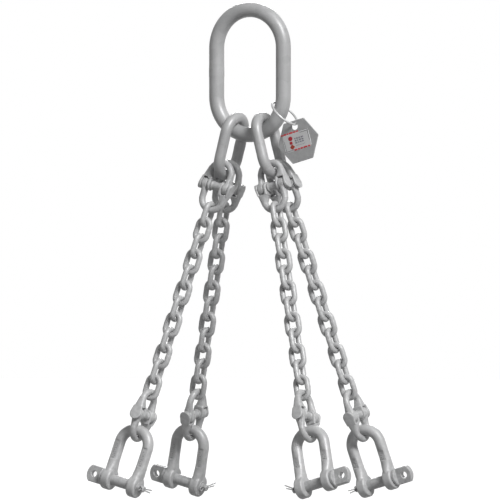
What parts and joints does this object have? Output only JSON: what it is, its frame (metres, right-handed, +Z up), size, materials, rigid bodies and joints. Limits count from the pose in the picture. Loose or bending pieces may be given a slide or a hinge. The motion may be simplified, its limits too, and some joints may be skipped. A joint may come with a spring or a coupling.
{
  "type": "four leg chain sling",
  "caption": "Chain sling: an oblong master link, intermediate links, short-link chain legs with two-part couplings, dee shackles with flat-headed pins, and a six-sided tag.",
  "frame": {"origin": "inside of the master link's crown, where the crane hook bears", "axes": "+Z up, +X to the right across the master link, which lies in the XZ plane; +Y to the back"},
  "size_m": [0.4394, 0.2392, 0.7217],
  "materials": {
    "forged_link_steel": "galvanised, satin",
    "coupling_steel": "galvanised, fine rough grain",
    "chain_steel": "galvanised, fine rough grain",
    "shackle_steel": "galvanised, satin",
    "pin_steel": "galvanised, dull",
    "spring_wire": "bright zinc",
    "tag_metal": "matt, fine grain"
  },
  "bodies": {
    "master_link": {"master_link": "forged_link_steel"},
    "intermediate_link_left": {"intermediate_link_left": "forged_link_steel"},
    "intermediate_link_right": {"intermediate_link_right": "forged_link_steel"},
    "tag_ring": {"tag_ring": "spring_wire"},
    "tag_plate": {"tag_plate": "tag_metal"},
    "front_left_upper_coupling_top": {"front_left_upper_coupling_top": "coupling_steel", "front_left_upper_coupling_pin": "pin_steel"},
    "front_left_upper_coupling_bottom": {"front_left_upper_coupling_bottom": "coupling_steel"},
    "front_left_chain_1": {"front_left_chain_1": "chain_steel"},
    "front_left_chain_2": {"front_left_chain_2": "chain_steel"},
    "front_left_chain_3": {"front_left_chain_3": "chain_steel"},
    "front_left_chain_4": {"front_left_chain_4": "chain_steel"},
    "front_left_lower_coupling_top": {"front_left_lower_coupling_top": "coupling_steel", "front_left_lower_coupling_pin": "pin_steel"},
    "front_left_lower_coupling_bottom": {"front_left_lower_coupling_bottom": "coupling_steel"},
    "front_left_shackle_bow": {"front_left_shackle_bow": "shackle_steel"},
    "front_left_shackle_pin": {"front_left_shackle_pin": "pin_steel", "front_left_shackle_cotter": "spring_wire"},
    "back_left_upper_coupling_top": {"back_left_upper_coupling_top": "coupling_steel", "back_left_upper_coupling_pin": "pin_steel"},
    "back_left_upper_coupling_bottom": {"back_left_upper_coupling_bottom": "coupling_steel"},
    "back_left_chain_1": {"back_left_chain_1": "chain_steel"},
    "back_left_chain_2": {"back_left_chain_2": "chain_steel"},
    "back_left_chain_3": {"back_left_chain_3": "chain_steel"},
    "back_left_chain_4": {"back_left_chain_4": "chain_steel"},
    "back_left_lower_coupling_top": {"back_left_lower_coupling_top": "coupling_steel", "back_left_lower_coupling_pin": "pin_steel"},
    "back_left_lower_coupling_bottom": {"back_left_lower_coupling_bottom": "coupling_steel"},
    "back_left_shackle_bow": {"back_left_shackle_bow": "shackle_steel"},
    "back_left_shackle_pin": {"back_left_shackle_pin": "pin_steel", "back_left_shackle_cotter": "spring_wire"},
    "front_right_upper_coupling_top": {"front_right_upper_coupling_top": "coupling_steel", "front_right_upper_coupling_pin": "pin_steel"},
    "front_right_upper_coupling_bottom": {"front_right_upper_coupling_bottom": "coupling_steel"},
    "front_right_chain_1": {"front_right_chain_1": "chain_steel"},
    "front_right_chain_2": {"front_right_chain_2": "chain_steel"},
    "front_right_chain_3": {"front_right_chain_3": "chain_steel"},
    "front_right_chain_4": {"front_right_chain_4": "chain_steel"},
    "front_right_lower_coupling_top": {"front_right_lower_coupling_top": "coupling_steel", "front_right_lower_coupling_pin": "pin_steel"},
    "front_right_lower_coupling_bottom": {"front_right_lower_coupling_bottom": "coupling_steel"},
    "front_right_shackle_bow": {"front_right_shackle_bow": "shackle_steel"},
    "front_right_shackle_pin": {"front_right_shackle_pin": "pin_steel", "front_right_shackle_cotter": "spring_wire"},
    "back_right_upper_coupling_top": {"back_right_upper_coupling_top": "coupling_steel", "back_right_upper_coupling_pin": "pin_steel"},
    "back_right_upper_coupling_bottom": {"back_right_upper_coupling_bottom": "coupling_steel"},
    "back_right_chain_1": {"back_right_chain_1": "chain_steel"},
    "back_right_chain_2": {"back_right_chain_2": "chain_steel"},
    "back_right_chain_3": {"back_right_chain_3": "chain_steel"},
    "back_right_chain_4": {"back_right_chain_4": "chain_steel"},
    "back_right_lower_coupling_top": {"back_right_lower_coupling_top": "coupling_steel", "back_right_lower_coupling_pin": "pin_steel"},
    "back_right_lower_coupling_bottom": {"back_right_lower_coupling_bottom": "coupling_steel"},
    "back_right_shackle_bow": {"back_right_shackle_bow": "shackle_steel"},
    "back_right_shackle_pin": {"back_right_shackle_pin": "pin_steel", "back_right_shackle_cotter": "spring_wire"}
  },
  "joints": [
    {"name": "left_intermediate_swing", "type": "hinge", "parent": "master_link", "child": "intermediate_link_left", "pos_m": [-0.03091, 0, -0.1617], "axis": [-0.8339, 0, 0.5519], "range_deg": [-60, 60]},
    {"name": "right_intermediate_swing", "type": "hinge", "parent": "master_link", "child": "intermediate_link_right", "pos_m": [0.03091, 0, -0.1617], "axis": [0.8339, 0, 0.5519], "range_deg": [-60, 60]},
    {"name": "tag_ring_swing", "type": "hinge", "parent": "master_link", "child": "tag_ring", "pos_m": [0.05247, 0, -0.13458], "axis": [0.6997, 0, 0.7145], "range_deg": [-32, 32]},
    {"name": "tag_swing", "type": "hinge", "parent": "tag_ring", "child": "tag_plate", "pos_m": [0.07456, 0, -0.15621], "axis": [0, 1, 0], "range_deg": [-60, 16]},
    {"name": "front_left_upper_coupling_swing", "type": "hinge", "parent": "intermediate_link_left", "child": "front_left_upper_coupling_top", "pos_m": [-0.0418, -0.01145, -0.22599], "axis": [0.0434, -0.9858, 0.1621], "range_deg": [-50, 30]},
    {"name": "front_left_upper_load_pin_hinge", "type": "hinge", "parent": "front_left_upper_coupling_top", "child": "front_left_upper_coupling_bottom", "pos_m": [-0.0472, -0.015, -0.24616], "axis": [0.9659, 0, -0.2588], "range_deg": [-75, 13]},
    {"name": "front_left_chain_top_swing", "type": "hinge", "parent": "front_left_upper_coupling_bottom", "child": "front_left_chain_1", "pos_m": [-0.05632, -0.021, -0.2802], "axis": [-0.9659, 0, 0.2588], "range_deg": [-15, 75]},
    {"name": "front_left_chain_2_swing", "type": "hinge", "parent": "front_left_chain_1", "child": "front_left_chain_2", "pos_m": [-0.0745, -0.03295, -0.34805], "axis": [-0.0434, 0.9858, -0.1621], "range_deg": [-35, 70]},
    {"name": "front_left_chain_3_swing", "type": "hinge", "parent": "front_left_chain_2", "child": "front_left_chain_3", "pos_m": [-0.09287, -0.04503, -0.41661], "axis": [0.9659, 0, -0.2588], "range_deg": [-70, 30]},
    {"name": "front_left_chain_4_swing", "type": "hinge", "parent": "front_left_chain_3", "child": "front_left_chain_4", "pos_m": [-0.11124, -0.05712, -0.48517], "axis": [0.0434, -0.9858, 0.1621], "range_deg": [-70, 50]},
    {"name": "front_left_lower_coupling_swing", "type": "hinge", "parent": "front_left_chain_4", "child": "front_left_lower_coupling_top", "pos_m": [-0.12961, -0.0692, -0.55373], "axis": [-0.9659, 0, 0.2588], "range_deg": [-60, 60]},
    {"name": "front_left_lower_load_pin_hinge", "type": "hinge", "parent": "front_left_lower_coupling_top", "child": "front_left_lower_coupling_bottom", "pos_m": [-0.13643, -0.07368, -0.57916], "axis": [-0.0434, 0.9858, -0.1621], "range_deg": [-70, 70]},
    {"name": "front_left_shackle_swing", "type": "hinge", "parent": "front_left_lower_coupling_bottom", "child": "front_left_shackle_bow", "pos_m": [-0.14555, -0.07968, -0.6132], "axis": [0.0434, -0.9858, 0.1621], "range_deg": [-75, 75]},
    {"name": "front_left_shackle_pin_turn", "type": "hinge", "parent": "front_left_shackle_bow", "child": "front_left_shackle_pin", "pos_m": [-0.16263, -0.09091, -0.67695], "axis": [0.9659, 0, -0.2588], "continuous": true},
    {"name": "back_left_upper_coupling_swing", "type": "hinge", "parent": "intermediate_link_left", "child": "back_left_upper_coupling_top", "pos_m": [-0.0418, 0.01145, -0.22599], "axis": [-0.0434, -0.9858, -0.1621], "range_deg": [-50, 30]},
    {"name": "back_left_upper_load_pin_hinge", "type": "hinge", "parent": "back_left_upper_coupling_top", "child": "back_left_upper_coupling_bottom", "pos_m": [-0.0472, 0.015, -0.24616], "axis": [0.9659, 0, -0.2588], "range_deg": [-13, 75]},
    {"name": "back_left_chain_top_swing", "type": "hinge", "parent": "back_left_upper_coupling_bottom", "child": "back_left_chain_1", "pos_m": [-0.05632, 0.021, -0.2802], "axis": [-0.9659, 0, 0.2588], "range_deg": [-75, 15]},
    {"name": "back_left_chain_2_swing", "type": "hinge", "parent": "back_left_chain_1", "child": "back_left_chain_2", "pos_m": [-0.0745, 0.03295, -0.34805], "axis": [0.0434, 0.9858, 0.1621], "range_deg": [-35, 70]},
    {"name": "back_left_chain_3_swing", "type": "hinge", "parent": "back_left_chain_2", "child": "back_left_chain_3", "pos_m": [-0.09287, 0.04503, -0.41661], "axis": [0.9659, 0, -0.2588], "range_deg": [-30, 70]},
    {"name": "back_left_chain_4_swing", "type": "hinge", "parent": "back_left_chain_3", "child": "back_left_chain_4", "pos_m": [-0.11124, 0.05712, -0.48517], "axis": [-0.0434, -0.9858, -0.1621], "range_deg": [-70, 50]},
    {"name": "back_left_lower_coupling_swing", "type": "hinge", "parent": "back_left_chain_4", "child": "back_left_lower_coupling_top", "pos_m": [-0.12961, 0.0692, -0.55373], "axis": [-0.9659, 0, 0.2588], "range_deg": [-60, 60]},
    {"name": "back_left_lower_load_pin_hinge", "type": "hinge", "parent": "back_left_lower_coupling_top", "child": "back_left_lower_coupling_bottom", "pos_m": [-0.13643, 0.07368, -0.57916], "axis": [0.0434, 0.9858, 0.1621], "range_deg": [-70, 70]},
    {"name": "back_left_shackle_swing", "type": "hinge", "parent": "back_left_lower_coupling_bottom", "child": "back_left_shackle_bow", "pos_m": [-0.14555, 0.07968, -0.6132], "axis": [-0.0434, -0.9858, -0.1621], "range_deg": [-75, 75]},
    {"name": "back_left_shackle_pin_turn", "type": "hinge", "parent": "back_left_shackle_bow", "child": "back_left_shackle_pin", "pos_m": [-0.16263, 0.09091, -0.67695], "axis": [0.9659, 0, -0.2588], "continuous": true},
    {"name": "front_right_upper_coupling_swing", "type": "hinge", "parent": "intermediate_link_right", "child": "front_right_upper_coupling_top", "pos_m": [0.0418, -0.01145, -0.22599], "axis": [-0.0434, -0.9858, 0.1621], "range_deg": [-30, 50]},
    {"name": "front_right_upper_load_pin_hinge", "type": "hinge", "parent": "front_right_upper_coupling_top", "child": "front_right_upper_coupling_bottom", "pos_m": [0.0472, -0.015, -0.24616], "axis": [0.9659, 0, 0.2588], "range_deg": [-75, 13]},
    {"name": "front_right_chain_top_swing", "type": "hinge", "parent": "front_right_upper_coupling_bottom", "child": "front_right_chain_1", "pos_m": [0.05632, -0.021, -0.2802], "axis": [-0.9659, 0, -0.2588], "range_deg": [-15, 75]},
    {"name": "front_right_chain_2_swing", "type": "hinge", "parent": "front_right_chain_1", "child": "front_right_chain_2", "pos_m": [0.0745, -0.03295, -0.34805], "axis": [0.0434, 0.9858, -0.1621], "range_deg": [-70, 35]},
    {"name": "front_right_chain_3_swing", "type": "hinge", "parent": "front_right_chain_2", "child": "front_right_chain_3", "pos_m": [0.09287, -0.04503, -0.41661], "axis": [0.9659, 0, 0.2588], "range_deg": [-70, 30]},
    {"name": "front_right_chain_4_swing", "type": "hinge", "parent": "front_right_chain_3", "child": "front_right_chain_4", "pos_m": [0.11124, -0.05712, -0.48517], "axis": [-0.0434, -0.9858, 0.1621], "range_deg": [-50, 70]},
    {"name": "front_right_lower_coupling_swing", "type": "hinge", "parent": "front_right_chain_4", "child": "front_right_lower_coupling_top", "pos_m": [0.12961, -0.0692, -0.55373], "axis": [-0.9659, 0, -0.2588], "range_deg": [-60, 60]},
    {"name": "front_right_lower_load_pin_hinge", "type": "hinge", "parent": "front_right_lower_coupling_top", "child": "front_right_lower_coupling_bottom", "pos_m": [0.13643, -0.07368, -0.57916], "axis": [0.0434, 0.9858, -0.1621], "range_deg": [-70, 70]},
    {"name": "front_right_shackle_swing", "type": "hinge", "parent": "front_right_lower_coupling_bottom", "child": "front_right_shackle_bow", "pos_m": [0.14555, -0.07968, -0.6132], "axis": [-0.0434, -0.9858, 0.1621], "range_deg": [-75, 75]},
    {"name": "front_right_shackle_pin_turn", "type": "hinge", "parent": "front_right_shackle_bow", "child": "front_right_shackle_pin", "pos_m": [0.16263, -0.09091, -0.67695], "axis": [0.9659, 0, 0.2588], "continuous": true},
    {"name": "back_right_upper_coupling_swing", "type": "hinge", "parent": "intermediate_link_right", "child": "back_right_upper_coupling_top", "pos_m": [0.0418, 0.01145, -0.22599], "axis": [0.0434, -0.9858, -0.1621], "range_deg": [-30, 50]},
    {"name": "back_right_upper_load_pin_hinge", "type": "hinge", "parent": "back_right_upper_coupling_top", "child": "back_right_upper_coupling_bottom", "pos_m": [0.0472, 0.015, -0.24616], "axis": [0.9659, 0, 0.2588], "range_deg": [-13, 75]},
    {"name": "back_right_chain_top_swing", "type": "hinge", "parent": "back_right_upper_coupling_bottom", "child": "back_right_chain_1", "pos_m": [0.05632, 0.021, -0.2802], "axis": [-0.9659, 0, -0.2588], "range_deg": [-75, 15]},
    {"name": "back_right_chain_2_swing", "type": "hinge", "parent": "back_right_chain_1", "child": "back_right_chain_2", "pos_m": [0.0745, 0.03295, -0.34805], "axis": [-0.0434, 0.9858, 0.1621], "range_deg": [-70, 35]},
    {"name": "back_right_chain_3_swing", "type": "hinge", "parent": "back_right_chain_2", "child": "back_right_chain_3", "pos_m": [0.09287, 0.04503, -0.41661], "axis": [0.9659, 0, 0.2588], "range_deg": [-30, 70]},
    {"name": "back_right_chain_4_swing", "type": "hinge", "parent": "back_right_chain_3", "child": "back_right_chain_4", "pos_m": [0.11124, 0.05712, -0.48517], "axis": [0.0434, -0.9858, -0.1621], "range_deg": [-50, 70]},
    {"name": "back_right_lower_coupling_swing", "type": "hinge", "parent": "back_right_chain_4", "child": "back_right_lower_coupling_top", "pos_m": [0.12961, 0.0692, -0.55373], "axis": [-0.9659, 0, -0.2588], "range_deg": [-60, 60]},
    {"name": "back_right_lower_load_pin_hinge", "type": "hinge", "parent": "back_right_lower_coupling_top", "child": "back_right_lower_coupling_bottom", "pos_m": [0.13643, 0.07368, -0.57916], "axis": [-0.0434, 0.9858, 0.1621], "range_deg": [-70, 70]},
    {"name": "back_right_shackle_swing", "type": "hinge", "parent": "back_right_lower_coupling_bottom", "child": "back_right_shackle_bow", "pos_m": [0.14555, 0.07968, -0.6132], "axis": [0.0434, -0.9858, -0.1621], "range_deg": [-75, 75]},
    {"name": "back_right_shackle_pin_turn", "type": "hinge", "parent": "back_right_shackle_bow", "child": "back_right_shackle_pin", "pos_m": [0.16263, 0.09091, -0.67695], "axis": [0.9659, 0, 0.2588], "continuous": true}
  ]
}
